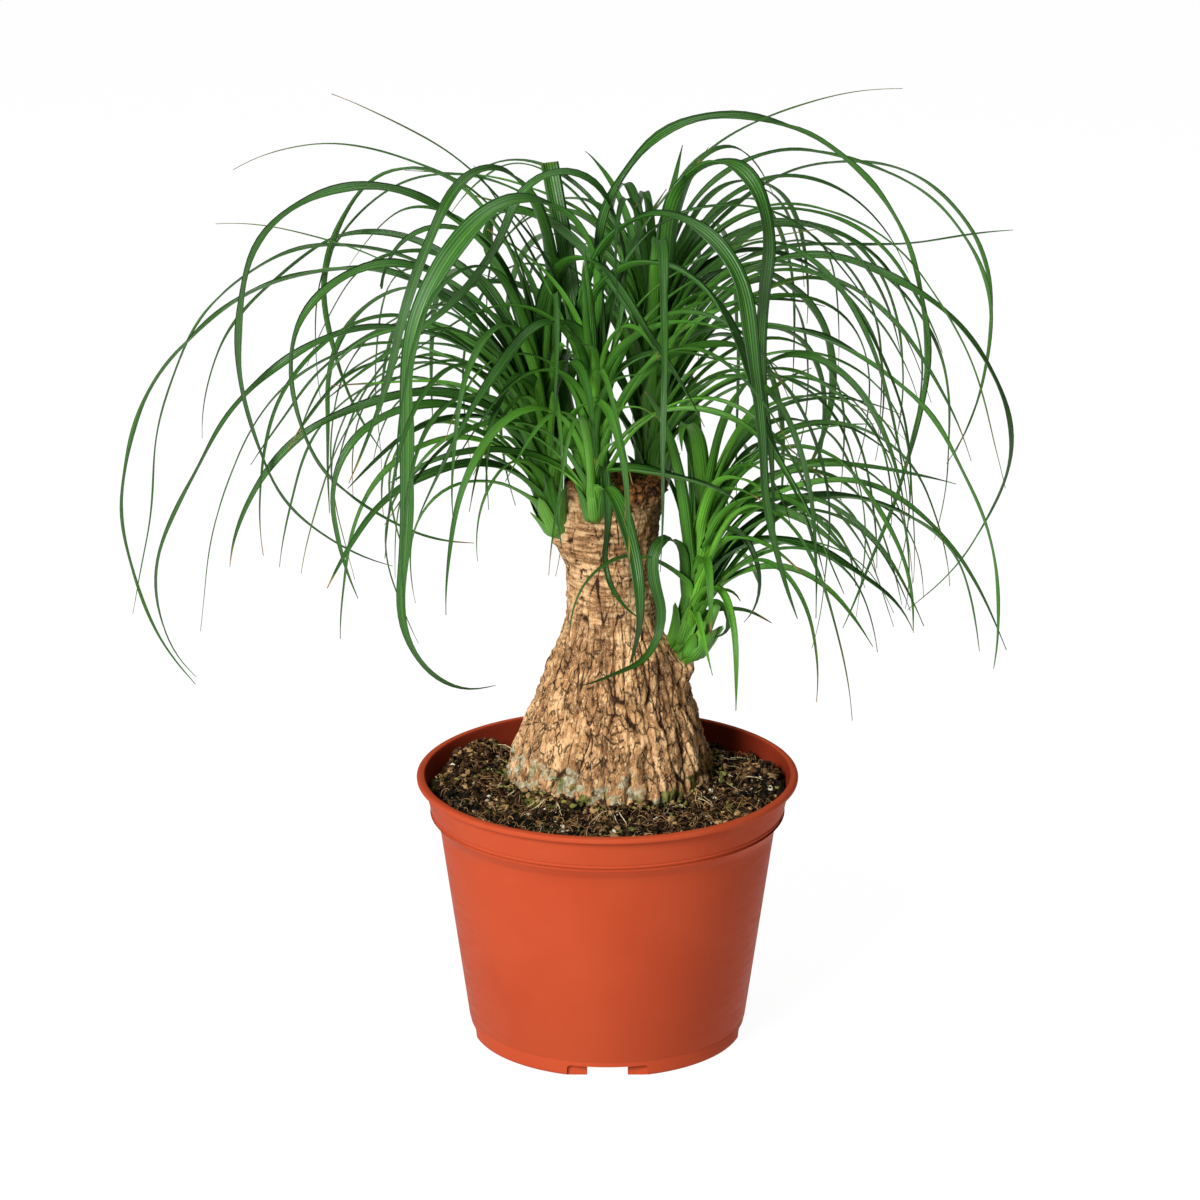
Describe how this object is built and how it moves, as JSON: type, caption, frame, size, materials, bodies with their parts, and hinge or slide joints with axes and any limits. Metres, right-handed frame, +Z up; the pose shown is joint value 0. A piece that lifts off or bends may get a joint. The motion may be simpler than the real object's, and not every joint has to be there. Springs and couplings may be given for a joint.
{
  "type": "potted ponytail palm",
  "caption": "Potted ponytail palm: a swollen trunk with leafy shoots of long arching strap leaves, in a round plastic grow pot filled with soil.",
  "frame": {"origin": "middle of the pot's foot, on the surface that the pot stands on", "axes": "+Z up along the pot's axis, -Y towards the side that the picture shows, +X to the right in the picture"},
  "size_m": [0.4387, 0.3457, 0.4808],
  "materials": {
    "pot_plastic": "terracotta coloured plastic with a soft sheen",
    "soil": "dark crumbly peat with white grains",
    "bark": "rough, cracked grey brown bark",
    "leaf": "dark green strap leaves with pale ribs"
  },
  "bodies": {
    "root": {"pot": "pot_plastic", "soil": "soil", "trunk": "bark", "shoot_left": "leaf", "shoot_front": "leaf", "shoot_back": "leaf", "shoot_right": "leaf"}
  },
  "joints": []
}
